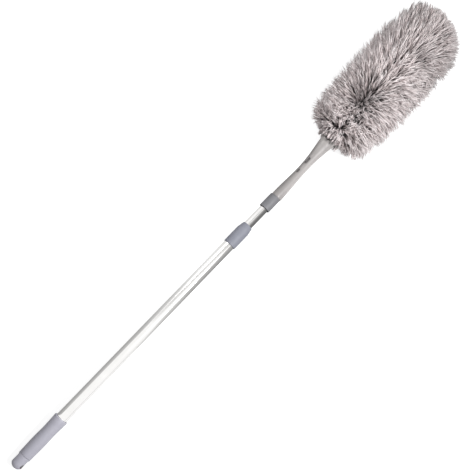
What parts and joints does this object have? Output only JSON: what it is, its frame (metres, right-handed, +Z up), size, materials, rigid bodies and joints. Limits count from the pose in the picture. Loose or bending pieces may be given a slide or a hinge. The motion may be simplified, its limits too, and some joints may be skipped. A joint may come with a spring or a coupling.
{
  "type": "extendable duster",
  "caption": "Telescopic steel pole with a moulded grip and a hang slot, a twist lock inside it, and a pull-off head with a removable microfibre fringe sleeve.",
  "frame": {"origin": "on the table, at the middle of the outline of the duster as it lies down", "axes": "+X from the hang end to the tip, with the pole pitched up by 3.9 degrees; +Z up; +Y to the left of someone who looks from the grip to the head"},
  "size_m": [1.0026, 0.1314, 0.1373],
  "materials": {
    "grey_plastic": "satin moulded",
    "warm_grey_plastic": "semi-gloss moulded",
    "dark_plastic": "satin moulded",
    "natural_nylon": "moulded",
    "polished_steel": "polished",
    "zinc_steel": "zinc plated",
    "coated_wire": "plastic coated",
    "microfibre": "fluffy fringe",
    "sleeve_cloth": "plain weave"
  },
  "bodies": {
    "handle": {"grip_end_cap": "grey_plastic", "hand_grip": "grey_plastic", "outer_tube": "polished_steel", "collar": "grey_plastic", "guide_bush": "natural_nylon"},
    "lock_carriage": {"expander_sleeve": "natural_nylon"},
    "lock_cone": {"lock_cone": "natural_nylon"},
    "inner_pole": {"inner_tube": "polished_steel", "lock_plug": "natural_nylon", "lock_spindle": "zinc_steel", "spindle_stop": "zinc_steel", "ferrule": "grey_plastic", "socket_insert": "natural_nylon"},
    "head": {"neck": "warm_grey_plastic", "core_root": "dark_plastic", "core_wire": "coated_wire", "core_bridge_1": "natural_nylon", "core_bridge_2": "natural_nylon", "core_bridge_3": "natural_nylon", "tip_cap": "natural_nylon"},
    "sleeve": {"sleeve_pocket": "sleeve_cloth", "sleeve_hem": "sleeve_cloth", "fringe_strip_1": "microfibre", "fringe_strip_2": "microfibre", "fringe_strip_3": "microfibre", "fringe_strip_4": "microfibre", "fringe_strip_5": "microfibre", "fringe_strip_6": "microfibre", "fringe_strip_7": "microfibre", "tip_tuft": "microfibre"}
  },
  "joints": [
    {"name": "pole_extend", "type": "slide", "parent": "handle", "child": "lock_carriage", "axis": [0.9977, 0, 0.0682], "range_m": [-0.036, 0.33]},
    {"name": "pole_twist", "type": "hinge", "parent": "lock_carriage", "child": "inner_pole", "pos_m": [-0.36394, 0.00025, 0.01928], "axis": [0.9977, 0, 0.0682], "range_deg": [0, 270]},
    {"name": "cone_travel", "type": "slide", "parent": "lock_carriage", "child": "lock_cone", "axis": [0.9977, 0, 0.0682], "range_m": [0, 0.0015]},
    {"name": "head_pull", "type": "slide", "parent": "inner_pole", "child": "head", "axis": [0.9977, 0, 0.0682], "range_m": [0, 0.043]},
    {"name": "sleeve_pull", "type": "slide", "parent": "head", "child": "sleeve", "axis": [0.9977, 0, 0.0682], "range_m": [0, 0.268]}
  ],
  "couplings": [
    {"joint": "cone_travel", "follows": "pole_twist", "m_per_rad": 0.000318}
  ]
}
